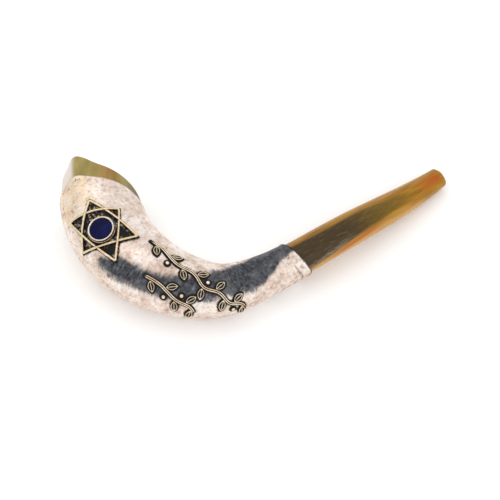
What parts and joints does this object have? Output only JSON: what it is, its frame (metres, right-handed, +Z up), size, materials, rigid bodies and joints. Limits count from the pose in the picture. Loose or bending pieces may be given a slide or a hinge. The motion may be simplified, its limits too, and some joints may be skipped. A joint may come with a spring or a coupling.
{
  "type": "shofar",
  "caption": "Curved ram's horn wind instrument lying on its side, with a drilled mouthpiece, an open bell and an engraved silver sleeve carrying a star, a set stone and a vine in relief.",
  "frame": {"origin": "under the middle of the bounding box, on the plane the instrument lies on", "axes": "+X from the bell towards the mouth along the longest extent, +Z up out of the plane the curve lies in, +Y the way the bell opens"},
  "size_m": [0.2578, 0.1244, 0.0468],
  "materials": {
    "horn": "polished",
    "resin": "matt",
    "silver": "brushed, oxidised in places",
    "dark_silver": "oxidised",
    "gilt_silver": "polished edges",
    "relief_silver": "polished edges, dark grooves",
    "stone": "polished"
  },
  "bodies": {
    "root": {"bezel": "gilt_silver", "bezel_collar": "gilt_silver", "horn": "horn", "lower_berry_1": "relief_silver", "lower_berry_2": "relief_silver", "lower_leaf_1": "relief_silver", "lower_leaf_2": "relief_silver", "lower_leaf_3": "relief_silver", "lower_leaf_4": "relief_silver", "lower_leaf_5": "relief_silver", "lower_stem": "relief_silver", "silver_sleeve": "silver", "sleeve_bedding": "resin", "star_plate": "dark_silver", "star_triangle_inner": "gilt_silver", "star_triangle_outer": "gilt_silver", "stone": "stone", "upper_berry_1": "relief_silver", "upper_berry_2": "relief_silver", "upper_berry_3": "relief_silver", "upper_leaf_1": "relief_silver", "upper_leaf_2": "relief_silver", "upper_leaf_3": "relief_silver", "upper_leaf_4": "relief_silver", "upper_leaf_5": "relief_silver", "upper_leaf_6": "relief_silver", "upper_leaf_7": "relief_silver", "upper_leaf_8": "relief_silver", "upper_leaf_9": "relief_silver", "upper_stem": "relief_silver"}
  },
  "joints": []
}
